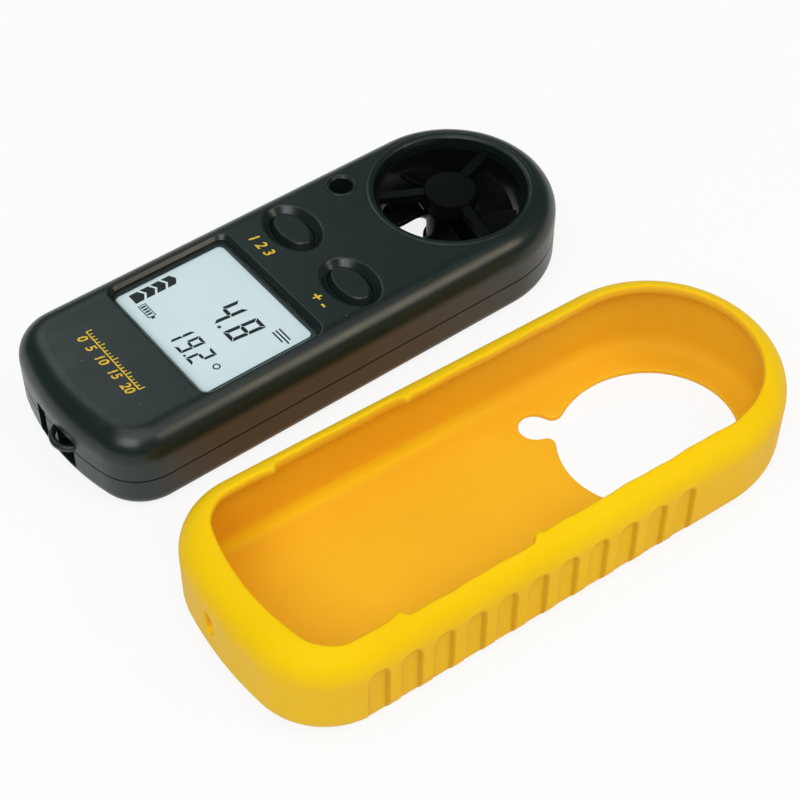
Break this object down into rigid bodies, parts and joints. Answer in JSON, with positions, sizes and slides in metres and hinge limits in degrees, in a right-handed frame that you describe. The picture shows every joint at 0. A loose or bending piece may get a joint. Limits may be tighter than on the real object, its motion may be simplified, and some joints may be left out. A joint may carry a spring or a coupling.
{
  "type": "handheld weather meter",
  "caption": "Pocket vane weather meter with a flush display, oval push keys, an open air duct with impeller, and a soft slip-on boot beside it.",
  "frame": {"origin": "centre of the meter's flat back, which lies on the surface", "axes": "+X towards the duct end along the length, +Y across the width away from the boot, +Z out of the display face"},
  "size_m": [0.1113, 0.1002, 0.0182],
  "materials": {
    "case_plastic": "satin moulded plastic, dark greenish charcoal",
    "key_plastic": "satin moulded plastic, dark greenish charcoal",
    "clear_plastic": "clear flat window",
    "display_glass": "pale grey-blue reflective display",
    "white_plastic": "milky light guide",
    "black_plastic": "moulded, fine grain",
    "contact_rubber": "conductive elastomer strip",
    "board_laminate": "solder mask over laminate",
    "screw_steel": "zinc plated",
    "resin_black": "cast resin",
    "can_metal": "drawn metal can",
    "ceramic_tan": "fired ceramic",
    "cell_steel": "nickel plated",
    "spring_steel": "nickel plated strip",
    "duct_plastic": "moulded, dark satin",
    "bush_plastic": "self-lubricating bush",
    "shaft_steel": "ground pin",
    "magnet_iron": "sintered ring",
    "impeller_plastic": "moulded, satin",
    "flex_amber": "flat polyimide lead",
    "bead_resin": "coated sensor bead",
    "lead_copper": "tinned wire",
    "boot_rubber": "soft silicone, warm yellow"
  },
  "bodies": {
    "case": {"front_case": "case_plastic", "rear_case": "case_plastic", "case_screws": "screw_steel", "display_window": "clear_plastic", "lcd_panel": "display_glass", "backlight_panel": "white_plastic", "zebra_strip": "contact_rubber", "lcd_holder": "black_plastic", "main_board": "board_laminate", "board_screws": "screw_steel", "controller_chip": "resin_black", "clock_crystal": "can_metal", "board_capacitors": "ceramic_tan", "coin_cell": "cell_steel", "battery_holder": "black_plastic", "negative_contact": "spring_steel", "positive_contact": "spring_steel", "front_guard": "duct_plastic", "rear_guard": "duct_plastic", "duct_sleeve": "duct_plastic", "front_bearing": "bush_plastic", "rear_bearing": "bush_plastic", "hall_sensor": "resin_black", "sensor_flex": "flex_amber", "temperature_bead": "bead_resin", "bead_leads": "lead_copper", "mode_switch": "black_plastic", "set_switch": "black_plastic"},
    "impeller": {"impeller": "impeller_plastic", "impeller_shaft": "shaft_steel", "rotor_magnet": "magnet_iron"},
    "mode_key": {"mode_button": "key_plastic", "mode_plunger": "white_plastic"},
    "set_key": {"set_button": "key_plastic", "set_plunger": "white_plastic"},
    "battery_cover": {"battery_cover": "case_plastic"},
    "boot": {"protective_boot": "boot_rubber"}
  },
  "joints": [
    {"name": "impeller_spin", "type": "hinge", "parent": "case", "child": "impeller", "pos_m": [0.0325, 0, 0.008], "axis": [0, 0, 1], "continuous": true},
    {"name": "mode_press", "type": "slide", "parent": "case", "child": "mode_key", "axis": [0, 0, -1], "range_m": [0, 0.0008], "stiffness_N_per_m": 400, "springref_m": -0.001},
    {"name": "set_press", "type": "slide", "parent": "case", "child": "set_key", "axis": [0, 0, -1], "range_m": [0, 0.0008], "stiffness_N_per_m": 400, "springref_m": -0.001},
    {"name": "battery_cover_turn", "type": "hinge", "parent": "case", "child": "battery_cover", "pos_m": [-0.022, 0, 0], "axis": [0, 0, 1], "range_deg": [0, 60]},
    {"name": "boot_lift", "type": "slide", "parent": "case", "child": "boot", "axis": [0, 0, 1], "range_m": [0, 0.04]}
  ]
}
